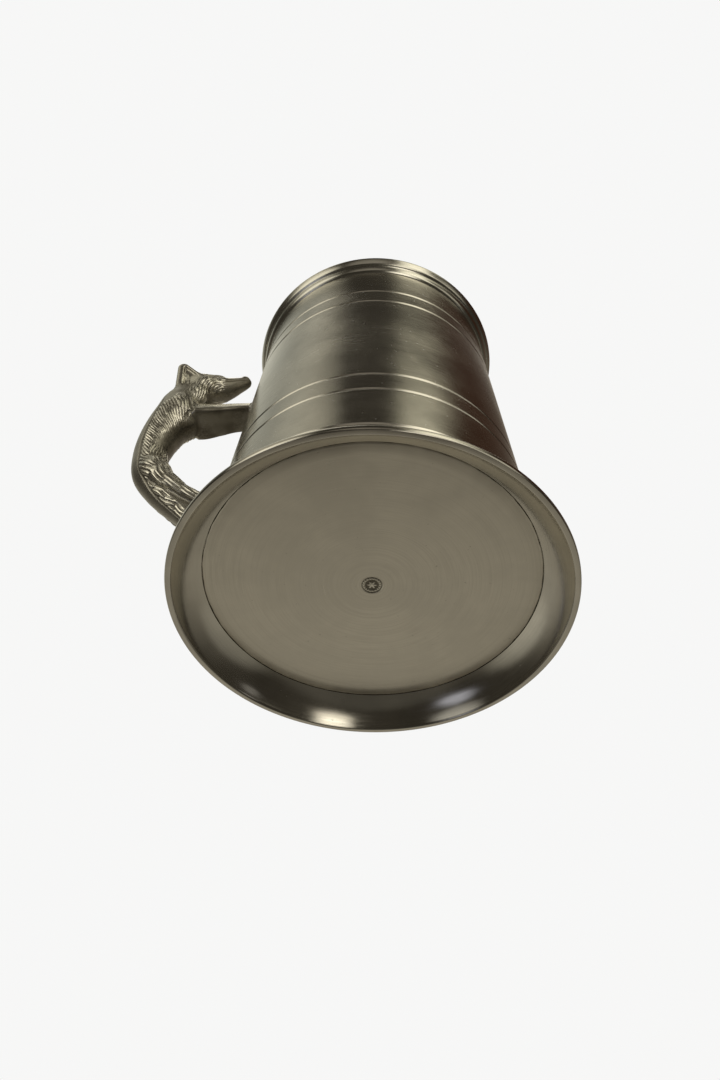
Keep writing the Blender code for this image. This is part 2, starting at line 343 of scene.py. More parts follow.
def spun_pewter(name, colour, rough, lines, blotch=0.10, brushed=0.6):
    """Spun and polished pewter: turning lines, soft blotches, and small dull specks."""
    material, n = new_material(name)
    scaled, radius, height = axis_coordinates(n)
    turning = ring_lines(n, radius, height, scaled)
    broad = n.noise(scaled, 0.06, 3.0, 0.55)
    speck = n.noise(scaled, 0.9, 2.0, 0.6)
    tint = n.mix(n.span(broad, 0.35, 0.7), shade(colour, 1 - blotch), shade(colour, 1 + blotch))
    tint = n.mix(n.span(turning, 0.35, 0.75, 0.0, 0.35), tint, shade(colour, 0.86))
    tint = n.mix(n.span(speck, 0.70, 0.80, 0.0, 0.5), tint, shade(colour, 0.62))
    gloss = n.math("ADD", n.span(broad, 0.3, 0.7, rough * 0.88, rough * 1.14),
                   n.span(turning, 0.3, 0.7, -0.03, 0.05))
    gloss = n.math("ADD", gloss, n.span(speck, 0.66, 0.8, 0.0, 0.10))
    ridges = add_bump(n, turning, lines, 0.00003)
    normal = add_bump(n, n.noise(scaled, 0.045, 1.0), 0.25, 0.0002, ridges)
    shader = add_metal(n, tint, gloss, normal)
    shader.inputs["Anisotropic"].default_value = brushed
    shader.inputs["Anisotropic Rotation"].default_value = 0.25
    around = n.add("ShaderNodeTangent", direction_type="RADIAL", axis="Z")
    n.link(around.outputs[0], shader.inputs["Tangent"])
    return material


def cast_pewter(name, bright, dark, rough):
    """Cast pewter, rubbed bright on its ridges and dark in its hollows, with painted light and shade
    (attribute wear_and_shading).
    """
    material, n = new_material(name)
    scaled, _, _ = axis_coordinates(n)
    # The attribute carries the painted highlights and painted shade laid on the fox as well as its
    # wear.
    wear_and_shading = n.add("ShaderNodeAttribute", attribute_name="wear_and_shading").outputs["Fac"]
    grain = n.noise(scaled, 1.6, 3.0, 0.6)
    broad = n.noise(scaled, 0.12, 2.0)
    worn_and_shaded = n.math("ADD", wear_and_shading, n.span(grain, 0.3, 0.7, -0.06, 0.06))
    share = n.span(worn_and_shaded, 0.05, 0.90, smooth=False)
    tint = n.mix(share, shade(dark, 1.0), shade(bright, 1.0))
    tint = n.mix(n.span(broad, 0.4, 0.7, 0.0, 0.25), tint, shade(bright, 0.8))
    gloss = n.span(worn_and_shaded, 0.2, 0.8, rough + 0.22, rough)
    gloss = n.math("ADD", gloss, n.span(grain, 0.4, 0.8, -0.03, 0.08))
    add_metal(n, tint, gloss, add_bump(n, grain, 0.25, 0.00010))
    return material


# ------------------ turned pieces

SEGMENTS = 320


def rounded(profile):
    """Round each corner of a profile of (radius, height, fillet) points."""
    steps = 5
    count = len(profile)
    points = []
    for index, (radius, height, fillet) in enumerate(profile):
        here = np.array((radius, height))
        if fillet <= 0:
            points.append(here)
            continue
        before = np.array(profile[index - 1][:2]) - here
        after = np.array(profile[(index + 1) % count][:2]) - here
        reach_before = min(fillet, np.linalg.norm(before) * 0.49)
        reach_after = min(fillet, np.linalg.norm(after) * 0.49)
        start = here + before / np.linalg.norm(before) * reach_before
        end = here + after / np.linalg.norm(after) * reach_after
        for step in range(steps + 1):
            t = step / steps
            points.append((1 - t) ** 2 * start + 2 * t * (1 - t) * here + t * t * end)
    return points


def finished(name, mesh, material, slot, *nodes):
    """Link a mesh to the scene, let it ride on the root body and stand for its CAD nodes."""
    mesh.materials.append(material)
    piece = add_object(name, mesh)
    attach(piece, "root")
    for node in nodes:
        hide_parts(node)
    return piece


def add_point(shape, radius, angle, height):
    """A vertex at a radius from the drum's axis, an angle round it and a height."""
    return shape.verts.new((AXIS_X + radius * math.cos(angle) * MM,
                            radius * math.sin(angle) * MM, height * MM))


def smooth_mesh(name, shape, sharp):
    """The built shape as a mesh, smooth but for edges sharper than an angle in degrees."""
    bmesh.ops.recalc_face_normals(shape, faces=shape.faces)
    mesh = bpy.data.meshes.new(name)
    shape.to_mesh(mesh)
    shape.free()
    mesh.shade_smooth()
    mesh.set_sharp_from_angle(angle=math.radians(sharp))
    return mesh


def turned(name, points, material, slot, *nodes):
    """Spin a closed profile round the drum's axis. Points at radius 0 become a single pole."""
    shape = bmesh.new()
    rings = []
    for radius, height in points:
        count = 1 if radius < 1e-6 else SEGMENTS
        rings.append([add_point(shape, radius, 2 * math.pi * step / SEGMENTS, height)
                      for step in range(count)])
    for first, second in zip(rings, rings[1:] + rings[:1]):
        if len(first) == 1 and len(second) == 1:
            continue
        for step in range(SEGMENTS):
            ahead = (step + 1) % SEGMENTS
            corners = [first[step % len(first)], first[ahead % len(first)],
                       second[ahead % len(second)], second[step % len(second)]]
            shape.faces.new(list(dict.fromkeys(corners)))
    return finished(name, smooth_mesh(name, shape, 50), material, slot, *nodes)


def incised(offset):
    """How far a shallow round-bottomed line lowers the wall at an offset from its middle."""
    depth, half_width = 0.26, 0.38
    return depth * math.exp(-(offset / half_width) ** 2)


def make_drum(material):
    """The drum: a tapered wall with four incised lines that swells a little under the rim."""
    flare_start, flare = 107.0, 0.55
    heights = list(np.arange(DRUM_BOTTOM, DRUM_TOP, 1.6)) + [DRUM_TOP]
    for height in LINE_HEIGHTS:
        heights += list(np.arange(height - 1.3, height + 1.31, 0.1))
    outside = []
    for z in sorted(heights, reverse=True):
        swell = flare * max(0.0, (z - flare_start) / (DRUM_TOP - flare_start)) ** 2
        cut = sum(incised(z - height) for height in LINE_HEIGHTS)
        outside.append((drum_radius(z) + swell - cut, z))
    inside = [(drum_radius(z) - WALL, z) for z in np.linspace(DRUM_BOTTOM, DRUM_TOP, 40)]
    turned("drum_spun", outside + inside, material, "spun_pewter", "drum")


def make_rim(material):
    """The rim band: a flared lip over a groove and a narrow second band."""
    outline = [
        (LIP_RADIUS - 0.55, HEIGHT, 0.5),
        (LIP_RADIUS, HEIGHT - 0.75, 0.5),
        (LIP_RADIUS - 0.35, 123.1, 0.8),
        (41.1, 121.7, 0.5),
        (40.55, 121.35, 0.12),
        (40.2, 120.95, 0.12),
        (40.5, 120.65, 0.2),
        (40.25, 119.75, 0.5),
        (39.95, 119.05, 0.25),
        (39.55, RIM_BOTTOM, 0.15),
        (39.1, RIM_BOTTOM - 0.35, 0.0),
        (38.7, RIM_BOTTOM - 0.35, 0.0),
        (38.6, 123.3, 0.0),
        (LIP_BORE, 123.2, 0.3),
        (LIP_BORE, 124.1, 0.6),
        (LIP_BORE + 1.0, HEIGHT - 0.1, 0.7),
    ]
    turned("rim_band_turned", rounded(outline), material, "spun_pewter", "rim_band", "rim_seam")


def make_foot(material):
    """The foot skirt: a bead at its neck, a flare, a flat contact ring and a cove beneath.

    The cove is one arc, steep at the ring and gentle at the disc."""
    socket = drum_radius(NECK_TOP) + 0.02
    rim_edge = 50.35
    steep, gentle = math.radians(68.0), math.radians(30.0)
    cove_radius, cove_steps = 15.0, 16
    outline = [
        (socket, NECK_TOP + 0.35, 0.1),
        (socket + 0.6, NECK_TOP + 0.1, 0.3),
        (45.80, 12.75, 0.06),
        (45.55, 12.05, 0.08),
        (45.0, 11.85, 0.10),
        (45.05, 11.3, 0.3),
        (45.4, 10.2, 1.2),
        (46.2, 8.3, 1.5),
        (47.2, 6.3, 1.5),
        (48.3, 4.4, 1.5),
        (49.4, 3.0, 1.2),
        (50.7, 2.1, 1.0),
        (51.75, 1.75, 0.5),
        (FOOT_RADIUS, 1.15, 0.3),
        (51.88, 0.38, 0.12),
        (51.66, 0.0, 0.06),
        (rim_edge + 0.15, 0.0, 0.10),
    ]
    cove = []
    for step in range(cove_steps + 1):
        slope = steep + (gentle - steep) * step / cove_steps
        cove.append((rim_edge - cove_radius * (math.sin(steep) - math.sin(slope)),
                     0.12 + cove_radius * (math.cos(slope) - math.cos(steep)), 0.0))
    socket_edge = [
        (DISC_RADIUS + 0.14, DISC_UNDERSIDE + 0.06, 0.06),
        (DISC_RADIUS + 0.14, DISC_UNDERSIDE + 0.9, 0.0),
        (44.15, DISC_TOP + 0.2, 0.0),
    ]
    turned("foot_skirt_spun", rounded(outline + cove + socket_edge), material, "spun_pewter",
           "foot_skirt", "neck_seam")


def make_disc(material):
    """The base disc: hollowed a little, with a recess for the mark and a softly broken edge."""
    hollow = 0.18
    mark = 2.85
    underside = []
    for radius in np.linspace(DISC_RADIUS - 0.5, mark, 15):
        rise = hollow * (1 - (radius / DISC_RADIUS) ** 2)
        underside.append((radius, DISC_UNDERSIDE + rise, 0.0))
    inner = DISC_UNDERSIDE + hollow + 0.45
    outline = [(0.0, DISC_TOP, 0.0), (DISC_RADIUS - 0.2, DISC_TOP, 0.0),
               (DISC_RADIUS - 0.08, DISC_TOP - 0.2, 0.0),
               (DISC_RADIUS - 0.08, DISC_UNDERSIDE + 0.10, 0.14)]
    outline += underside + [(mark, inner, 0.0), (0.0, inner, 0.0)]
    disc = turned("base_disc_spun", rounded(outline), material, "satin_pewter", "base_disc")
    edge_width = 0.6
    for point in disc.data.vertices:
        x, y = point.co.x - AXIS_X, point.co.y
        edge = (math.hypot(x, y) / MM - (DISC_RADIUS - edge_width)) / edge_width
        if edge > 0:
            angle = math.atan2(y, x)
            burr = 0.05 * math.sin(23 * angle + 1) + 0.04 * math.sin(61 * angle + 2.2)
            tight = 0.12 * max(0.0, -math.sin(angle)) ** 2
            scale = 1 + edge * (burr + tight) / DISC_RADIUS
            point.co.x, point.co.y = AXIS_X + x * scale, y * scale


def make_mark(material):
    """A small struck mark in the middle of the base: a rope ring round a six-petalled flower."""
    outer = 2.95
    ground = DISC_UNDERSIDE + 0.36
    relief_height, thickness = 0.20, 0.22
    rings, spokes = 44, 144
    shape = bmesh.new()
    rows = []
    rises = []
    for row in range(1, rings + 1):
        radius = outer * row / rings
        ring = []
        for spoke in range(spokes):
            angle = 2 * math.pi * spoke / spokes
            petal = 1.45 * abs(math.cos(3 * angle)) ** 0.6
            flower = max(0.0, 1 - (radius / max(petal, 0.25)) ** 4)
            bud = max(0.0, 1 - (radius / 0.42) ** 2)
            rope = math.exp(-((radius - 2.15) / 0.30) ** 2) * (0.75 + 0.25 * math.cos(18 * angle))
            edge = max(0.0, (radius - 2.6) / 0.35)
            raised = min(1.0, max(0.75 * flower, bud, rope, edge))
            rises.append(raised)
            ring.append(add_point(shape, radius, angle, ground - relief_height * raised))
        rows.append(ring)
    middle = add_point(shape, 0.0, 0.0, ground - relief_height)
    top_height = ground + thickness
    top = [shape.verts.new((v.co.x, v.co.y, top_height * MM)) for v in rows[-1]]
    top_middle = add_point(shape, 0.0, 0.0, top_height)
    for spoke in range(spokes):
        ahead = (spoke + 1) % spokes
        shape.faces.new((middle, rows[0][spoke], rows[0][ahead]))
        for lower, upper in zip(rows, rows[1:]):
            shape.faces.new((lower[spoke], upper[spoke], upper[ahead], lower[ahead]))
        shape.faces.new((rows[-1][spoke], top[spoke], top[ahead], rows[-1][ahead]))
        shape.faces.new((top[spoke], top_middle, top[ahead]))
    mesh = smooth_mesh("struck_mark", shape, 60)
    wear_and_shading = mesh.attributes.new("wear_and_shading", "FLOAT", "POINT")
    wear_and_shading.data.foreach_set("value", rises + [1.0] * (len(mesh.vertices) - len(rises)))
    finished("struck_mark", mesh, material, "satin_pewter")


def make_base_seam(material):
    """The solder fillet that closes the inside corner of the drum."""
    floor = DISC_TOP - 0.02
    corner = drum_radius(floor) - WALL + 0.1
    leg, radius = 2.3, 2.2
    arc = []
    for angle in np.radians(np.linspace(-90, 0, 9)):
        arc.append((corner - leg + radius * math.cos(angle), floor + leg + radius * math.sin(angle)))
    back = [(corner, floor + leg), (corner, floor), (corner - leg, floor)]
    turned("base_fillet", arc + back, material, "solder", "base_seam")


# ------------------ the fox, as a distance field

STEP = 0.27           # spacing of the distance field, mm
FAR = 6.0             # distance given to places well away from the fox


def smooth_min(a, b, blend):
    """The lesser of two distances, with the crease between them filled."""
    if blend <= 0:
        return np.minimum(a, b)
    share = np.maximum(blend - np.abs(a - b), 0.0) / blend
    return np.minimum(a, b) - share * share * blend / 4


def smooth_max(a, b, blend):
    return -smooth_min(-a, -b, blend)


def along(points, count):
    """Read a smooth curve (Catmull-Rom) through the points at even parameter steps."""
    points = np.array(points, float)
    padded = np.vstack([2 * points[0] - points[1], points, 2 * points[-1] - points[-2]])
    result = []
    for value in np.linspace(0, len(points) - 1, count):
        start = min(int(value), len(points) - 2)
        t = value - start
        a, b, c, d = padded[start:start + 4]
        result.append(0.5 * (2 * b + (c - a) * t + (2 * a - 5 * b + 4 * c - d) * t * t
                             + (3 * b - a - 3 * c + d) * t ** 3))
    return np.array(result)


def ball_distance(r, s, z, centre, radii, tilt):
    """Distance to an ellipsoid; tilt turns it in the handle's plane, in degrees."""
    c, w = math.cos(math.radians(tilt)), math.sin(math.radians(tilt))
    a, b, h = r - centre[0], s - centre[1], z - centre[2]
    u, v = a * c + h * w, -a * w + h * c
    near = np.sqrt((u / radii[0]) ** 2 + (b / radii[1]) ** 2 + (v / radii[2]) ** 2) + 1e-6
    steep = np.sqrt((u / radii[0] ** 2) ** 2 + (b / radii[1] ** 2) ** 2
                    + (v / radii[2] ** 2) ** 2) + 1e-6
    return near * (near - 1) / steep


def polygon_distance(r, z, corners):
    """Signed distance in the handle's plane to a convex polygon, its corners clockwise."""
    inside = np.full(np.broadcast(r, z).shape, -1e9)
    outside = np.full(inside.shape, 1e9)
    for first, second in zip(corners, corners[1:] + corners[:1]):
        edge = np.subtract(second, first)
        length = np.linalg.norm(edge)
        a, h = r - first[0], z - first[1]
        inside = np.maximum(inside, (h * edge[0] - a * edge[1]) / length)
        t = np.clip((a * edge[0] + h * edge[1]) / length ** 2, 0, 1)
        outside = np.minimum(outside, np.hypot(a - t * edge[0], h - t * edge[1]))
    return np.where(inside < 0, inside, outside)


class Field:
    """Distances on a grid over the handle: reach, side and height, in millimetres."""

    def __init__(self, low, values):
        self.low = np.array(low, float)
        self.values = values

    @classmethod
    def empty(cls, low, high):
        """A grid between two corners with nothing in it yet."""
        counts = np.ceil((np.array(high, float) - np.array(low, float)) / STEP).astype(int) + 1
        return cls(low, np.full(counts, FAR, np.float32))

    def window(self, low, high):
        """The part of the grid inside a box: its slices and its coordinates."""
        first = np.floor((np.array(low) - self.low) / STEP).astype(int)
        last = np.ceil((np.array(high) - self.low) / STEP).astype(int) + 1
        first = np.clip(first, 0, self.values.shape)
        last = np.clip(last, 0, self.values.shape)
        cut = tuple(slice(a, b) for a, b in zip(first, last))
        axes = [self.low[i] + STEP * np.arange(first[i], last[i]) for i in range(3)]
        return cut, np.meshgrid(*axes, indexing="ij", sparse=True)

    def ball(self, centre, radii, blend, tilt=0.0, carve=False):
        """An ellipsoid, joined to what is there or carved out of it."""
        pad = max(radii) + blend + 1.0
        cut, axes = self.window(np.subtract(centre, pad), np.add(centre, pad))
        distance = ball_distance(*axes, centre, radii, tilt)
        if carve:
            self.values[cut] = smooth_max(self.values[cut], -distance, blend)
        else:
            self.values[cut] = smooth_min(self.values[cut], distance, blend)

    def limb(self, route, blend, count=60):
        """A tapering limb along a smooth curve through (reach, side, height, radius) points."""
        best = np.full(self.values.shape, FAR, np.float32)
        for reach, side, height, radius in along(route, count):
            middle = np.array((reach, side, height))
            near = radius + blend + 1.5
            cut, (r, s, z) = self.window(middle - near, middle + near)
            gap = np.sqrt((r - reach) ** 2 + (s - side) ** 2 + (z - height) ** 2) - radius
            best[cut] = np.minimum(best[cut], gap)
        self.values = smooth_min(self.values, best, blend)

    def bar(self, route, blend):
        """A box-like limb in the middle plane, of (reach, half width, height, half depth).

        It is a little narrower at its top than at its bottom."""
        power, taper = 6, 0.15
        path = along(route, 60)
        pad = path[:, 3].max() + blend + 1.5
        low = (path[:, 0].min() - pad, 0, path[:, 2].min() - pad)
        high = (path[:, 0].max() + pad, path[:, 1].max() + pad, path[:, 2].max() + pad)
        cut, (r, s, z) = self.window(low, high)
        best = np.full(self.values[cut].shape, FAR, np.float32)
        for reach, half, height, depth in path:
            away = ((r - reach) ** 2 + (z - height) ** 2) ** (power // 2) / depth ** power
            width = half * (1 - taper * np.clip((z - height) / depth, -1, 1))
            best = np.minimum(best, ((away + (s / width) ** power) ** (1 / power) - 1) * depth)
        self.values[cut] = smooth_min(self.values[cut], best, blend)

    def sample(self, points):
        """Trilinear distances at points."""
        at = np.clip((points - self.low) / STEP, 0, np.array(self.values.shape) - 1.001)
        base = at.astype(int)
        total = 0.0
        for corner in itertools.product((0, 1), repeat=3):
            weight = np.prod(np.abs(1 - np.array(corner) - (at - base)), axis=1)
            total = total + weight * self.values[tuple((base + corner).T)]
        return total

    def slope(self, points):
        """Unit outward normals at points."""
        rows = [self.sample(points + shift) - self.sample(points - shift)
                for shift in STEP * np.eye(3)]
        normals = np.stack(rows, 1)
        return normals / (np.linalg.norm(normals, axis=1, keepdims=True) + 1e-9)

    def surface(self):
        """The zero surface as points and outward quads, in millimetres."""
        grid = openvdb.FloatGrid()
        grid.background = FAR
        grid.copyFromArray(self.values)
        points, quads = grid.convertToQuads(isovalue=0.0)
        return points.astype(float) * STEP + self.low, quads


# The backbone runs from the head down the back to the end of the tail.
SPINE = [
    (60.0, 0, 107.4, 4.6), (64.8, 0, 102.2, 4.9), (66.5, 0, 95.0, 6.5), (66.9, 0, 87.4, 7.2),
    (68.5, 0, 80.0, 6.8), (69.8, 0, 71.5, 6.1), (69.9, 0, 63.0, 5.5), (67.8, 0, 54.5, 5.7),
    (63.3, 0, 47.0, 5.3), (58.5, 0, 41.0, 4.8), (53.6, 0, 35.6, 4.3), (48.6, 0, 29.6, 3.7),
    (43.8, 0, 24.0, 3.3), (38.0, 0, 17.9, 3.1),
]
SNOUT = [
    (59.0, 0, 106.6, 5.0), (55.5, 0, 106.9, 4.6), (52.6, 0, 108.3, 3.9), (49.7, 0, 110.4, 3.0),
    (47.6, 0, 112.0, 2.4), (46.7, 0, 112.9, 2.1),
]
EYE = np.array((57.0, 4.6, 108.4))
# The two forelegs lie side by side as one broad bar: reach, half width, height, half depth.
FORELEGS = [
    (64.5, 4.2, 89.0, 3.4), (59.0, 5.5, 87.0, 3.7), (53.0, 5.0, 87.9, 3.2), (48.0, 4.6, 89.4, 2.8),
    (43.0, 4.5, 90.2, 2.6), (36.5, 4.6, 90.6, 2.7),
]
HIND_LEG = [
    (66.0, 3.8, 51.5, 3.6), (60.5, 4.1, 45.2, 3.4), (55.0, 4.1, 40.6, 2.45), (49.5, 4.1, 37.3, 2.1),
    (44.0, 4.1, 34.9, 1.95), (37.5, 4.1, 32.4, 2.1),
]
# The gap between the hind leg and the tail.
SLIT = [
    (71.6, 4.3, 49.6, 0.3), (67.2, 5.2, 46.4, 0.6), (62.5, 5.1, 42.5, 0.7), (58.5, 5.3, 39.9, 0.8),
    (54.5, 5.0, 37.0, 0.85), (49.5, 4.9, 34.3, 0.8), (43.0, 4.8, 31.5, 0.7),
]
EAR = [(68.4, 113.2), (67.3, 101.0), (61.7, 106.6)]


def ear(r, s, z):
    """One ear: a rounded triangle that leans outwards, hollowed on its outer side."""
    rounding = 2.1
    middle = 3.7 + 0.12 * (z - 104.0)
    leaf = polygon_distance(r, z, EAR)
    across = np.abs(s - middle) - 1.5
    solid = smooth_max(leaf - rounding, across, 1.4)
    cup = polygon_distance(r + 0.8, z + 0.3, EAR) - rounding + 1.75
    hollow = smooth_max(cup, middle + 0.5 - s, 0.7)
    return smooth_max(solid, -hollow, 0.6)


def fox_field():
    """Both sides of the fox as one field, before it is trimmed where it meets the drum."""
    half = Field.empty((30.0, 0.0, 12.0), (79.0, 11.0, 121.0))
    half.limb(SPINE, 0.0, count=240)
    half.ball((64.2, 0, 88.0), (7.0, 6.6, 8.8), 2.0)
    half.ball((60.6, 0, 107.6), (6.3, 5.4, 5.6), 1.5, -15)
    half.limb(SNOUT, 1.2)
    half.ball((56.6, 1.2, 111.0), (3.6, 2.6, 1.9), 1.6, -18)
    half.ball((59.4, 3.0, 104.6), (4.2, 3.2, 3.5), 1.0, -25)
    half.ball((61.2, 2.9, 98.6), (3.7, 3.2, 5.4), 1.0, 8)
    half.ball((46.9, 0, 113.5), (1.75, 2.15, 1.9), 0.7, -12)
    cut, axes = half.window((56, 1, 96), (76, 10, 121))
    half.values[cut] = smooth_min(half.values[cut], ear(*axes), 1.0)
    half.bar(FORELEGS, 0.7)
    half.ball((65.1, 3.7, 88.0), (4.5, 3.7, 7.4), 0.9, -4)
    half.ball((65.6, 3.4, 52.0), (4.6, 3.8, 6.6), 1.2, -36)
    half.limb(HIND_LEG, 0.7)
    half.ball((57.0, 5.6, 108.4), (1.6, 1.5, 1.0), 0.5, -12, carve=True)
    half.ball((56.9, 4.15, 108.3), (1.15, 0.8, 0.68), 0.1, -12)
    half.ball((45.2, 0.9, 113.9), (0.9, 0.45, 0.40), 0.25, 0, carve=True)
    slit = Field(half.low, np.full(half.values.shape, FAR, np.float32))
    slit.limb(SLIT, 0.0)
    values = smooth_max(half.values, -slit.values, 0.5)
    corner = half.low - (0.0, STEP * (values.shape[1] - 1), 0.0)
    return Field(corner, np.concatenate([values[:, :0:-1], values], axis=1))


def drum_distance(places):
    """Distance from the drum's outside, for points or for the axes of a grid."""
    r, s, z = places
    return np.sqrt(r * r + s * s) - drum_radius(z)


# ------------------ the fox's coat

# The routes that the fur follows: down the back, from the snout to the throat, down the thigh.
BACKBONE = along(SPINE, 400)
HEAD = along([
    (50.5, 0, 109.6, 4.0), (55.5, 0, 107.6, 5.4), (59.6, 0, 103.6, 5.8), (61.8, 0, 98.0, 5.8),
    (62.6, 0, 92.0, 5.8),
], 100)
THIGH = along([
    (68.8, 4.0, 66.0, 5.0), (67.4, 4.0, 56.5, 5.0), (62.5, 4.0, 47.5, 4.2),
    (57.0, 4.0, 42.2, 3.2), (50.0, 4.0, 37.6, 2.8), (42.0, 4.0, 34.3, 2.8),
], 160)


def locate(points, route):
    """Where points lie along a route in the handle's plane.

    Gives the nearest index, the distance gone, the offset across it and the half width."""
    flat = points[:, [0, 2]]
    line = route[:, [0, 2]]
    nearest = np.zeros(len(points), int)
    batch = 20000    # few enough points at a time to fit in memory
    for start in range(0, len(points), batch):
        part = flat[start:start + batch]
        gap = ((part[:, None, :] - line[None, :, :]) ** 2).sum(2)
        nearest[start:start + batch] = gap.argmin(1)
    run = np.gradient(line, axis=0)
    lengths = np.linalg.norm(run, axis=1)
    gone = np.cumsum(lengths) - lengths[0]
    run = (run / lengths[:, None])[nearest]
    offset = flat - line[nearest]
    lift = -offset[:, 0] * run[:, 1] + offset[:, 1] * run[:, 0]
    return nearest, gone[nearest] + (offset * run).sum(1), lift, route[nearest, 3]


def dice(first, second, seed):
    """A repeatable number from 0 to 1 for each pair of whole numbers."""
    mixed = np.sin(first * 12.9898 + second * 78.233 + seed * 37.719) * 43758.5453
    return mixed - np.floor(mixed)


def combed(gone, around, lean, pitch, length, seed, wave=0.0):
    """Fur combed along a route: staggered locks that swell from the root and end in a point.

    gone and around are distances along and across the route, lean is the drift between them.
    Gives each point's rise, from 0 in a groove to 1 on a ridge."""
    across = around - lean + wave * np.sin(0.75 * gone + seed)
    across = across + 0.22 * np.sin(0.42 * gone + 0.5 * around + seed)
    stripe = np.floor(across / pitch)
    place = np.abs(2 * (across / pitch - stripe) - 1)
    turn = gone / length * (0.85 + 0.3 * dice(stripe, 0, seed)) + dice(stripe, 1, seed)
    row = np.floor(turn)
    share = turn - row
    half = np.where(share < 0.5, 1.0, 1.0 - 0.8 * (share - 0.5) / 0.5)
    ridge = np.clip(1 - (place / half) ** 2, 0, 1) ** 0.7
    swell = 0.5 + 0.5 * np.minimum(1, share / 0.45)
    return ridge * swell * (0.72 + 0.28 * dice(stripe, row, seed))


def fade(value, start, end):
    """A smooth step from 0 at start to 1 at end."""
    t = np.clip((value - start) / (end - start), 0, 1)
    return t * t * (3 - 2 * t)


def fade_out(value, start, end):
    """A smooth step from 1 at start to 0 at end."""
    return 1 - fade(value, start, end)


def onto_surface(field, points, rounds=3):
    """Points moved along the field's slope until they lie on its surface."""
    for _ in range(rounds):
        points = points - field.slope(points) * field.sample(points)[:, None]
    return points


class Coat:
    """Raised ribs and cut lines that are laid over the fox's surface beside its combed fur."""

    def __init__(self, field, points):
        self.field = field
        self.rise = np.zeros(len(points))
        self.cut = np.zeros(len(points))
        self.tree = KDTree(len(points))
        for index, point in enumerate(points):
            self.tree.insert(point, index)
        self.tree.balance()

    def rib(self, trail, height, width):
        """A raised rib: it swells from its root and ends in a point."""
        for share, point in zip(np.linspace(0, 1, len(trail)), trail):
            swelling = 0.45 + 0.75 * share
            tapering = (2.0 - 1.75 * share) / 1.06
            half = width * (swelling if share < 0.6 else tapering)
            lift = height * (0.55 + 0.45 * min(1.0, share / 0.55))
            for _, index, distance in self.tree.find_range(point, half):
                near = distance / half
                if near < 1.0:
                    self.rise[index] = max(self.rise[index], lift * (1 - near * near) ** 0.7)

    def line(self, trail, depth, width, ends=0.15):
        """A cut line that fades at both ends."""
        for share, point in zip(np.linspace(0, 1, len(trail)), trail):
            strength = min(1.0, share / ends, (1 - share) / ends)
            for _, index, distance in self.tree.find_range(point, width):
                drop = depth * strength * (1 - (distance / width) ** 2)
                self.cut[index] = max(self.cut[index], drop)


def band_edge(height):
    """Angle from the middle of the back to the edge of its smooth band, in degrees."""
    return np.interp(height, (17, 30, 42, 50, 60, 75, 90, 99), (31, 31, 36, 52, 68, 66, 54, 44))


def drift(gone, heights, leans):
    """How far fur drifts sideways down a route, from its lean in degrees at some heights."""
    _, passed, _, _ = locate(BACKBONE[:, :3], BACKBONE)
    slope = np.tan(np.radians(np.interp(BACKBONE[:, 2], heights, leans)))
    return np.interp(gone, passed, np.cumsum(slope * np.gradient(passed)))


class Skin:
    """Where each point of the fox's surface lies, in space and along and round the backbone.

    turn and angle go round the body, from 0 on the back to half a turn on the belly."""

    def __init__(self, points):
        self.points = points
        self.r, self.s, self.z = points[:, 0], np.abs(points[:, 1]), points[:, 2]
        nearest, self.gone, lift, self.half = locate(points, BACKBONE)
        self.turn = np.arctan2(self.s, lift)
        self.angle = np.degrees(self.turn)
        self.level = BACKBONE[nearest, 2]
        self.ragged = 6 * np.sin(9 * self.turn + 1.7 * self.gone)
        self.past_band = self.angle - band_edge(self.level)
        self.divide = 35 + (self.r - 50) * 0.62    # height of the gap between thigh and tail


# Each region's share of the surface, and the height of its locks in millimetres.

def flank_fur(skin):
    """Long locks that sweep down and forwards over the body, and thin out at the belly."""
    lean = drift(skin.gone, (52, 62, 70, 78, 85, 92, 98), (18, 36, 43, 41, 34, 28, 24))
    locks = combed(skin.gone, skin.turn * skin.half, lean, pitch=1.22, length=7.5, seed=1)
    belly = np.interp(skin.level, (50, 60, 66, 71, 76, 82, 90, 97),
                      (108, 112, 120, 132, 143, 156, 160, 160)) + 0.5 * skin.ragged
    neck = 91.5 - 7.0 * np.clip((92 - skin.angle) / 38, 0, 1) + 0.15 * skin.ragged
    foreleg = np.interp(skin.z, (80, 87, 95), (58.2, 58.6, 59.4))
    past_foreleg = np.interp(skin.z, (80, 87, 95), (59.6, 59.8, 60.6))
    share = fade(skin.past_band, 1, 5) * fade_out(skin.angle, belly - 16, belly + 4)
    share *= fade_out(skin.z, neck - 1.6, neck + 0.6) * fade(skin.r, foreleg, past_foreleg)
    return share, 0.42 * locks


def tail_fur(skin):
    """Coarse, wavy locks along the tail, below the gap."""
    locks = combed(skin.gone, skin.turn * skin.half, 0.15 * skin.gone,
                   pitch=1.40, length=6.5, seed=3, wave=0.40)
    share = fade(skin.past_band, 1, 5) * fade_out(skin.level, 48, 53)
    share *= fade_out(skin.z, skin.divide - 0.6, skin.divide + 0.4)
    share *= 1 - 0.92 * fade(skin.past_band + skin.ragged, 30, 46)
    return share, 0.60 * locks


def leg_fur(skin):
    """Locks that run down the thigh and along the outside of the hind leg."""
    _, gone, lift, _ = locate(skin.points, THIGH)
    turn = np.arctan2(lift, skin.s - 1.2)
    locks = combed(gone, turn * 4.6, 0.12 * gone, pitch=1.12, length=8.0, seed=2)
    locks = locks * (1 - 0.85 * fade(np.degrees(turn), 22, 50))
    share = fade(skin.z, skin.divide, skin.divide + 0.8) * fade_out(skin.z, 61, 66)
    share *= np.maximum(fade(skin.angle, 92, 104), fade_out(skin.level, 46, 50))
    share *= fade(skin.s, 0.4, 1.2)
    return share, 0.42 * locks


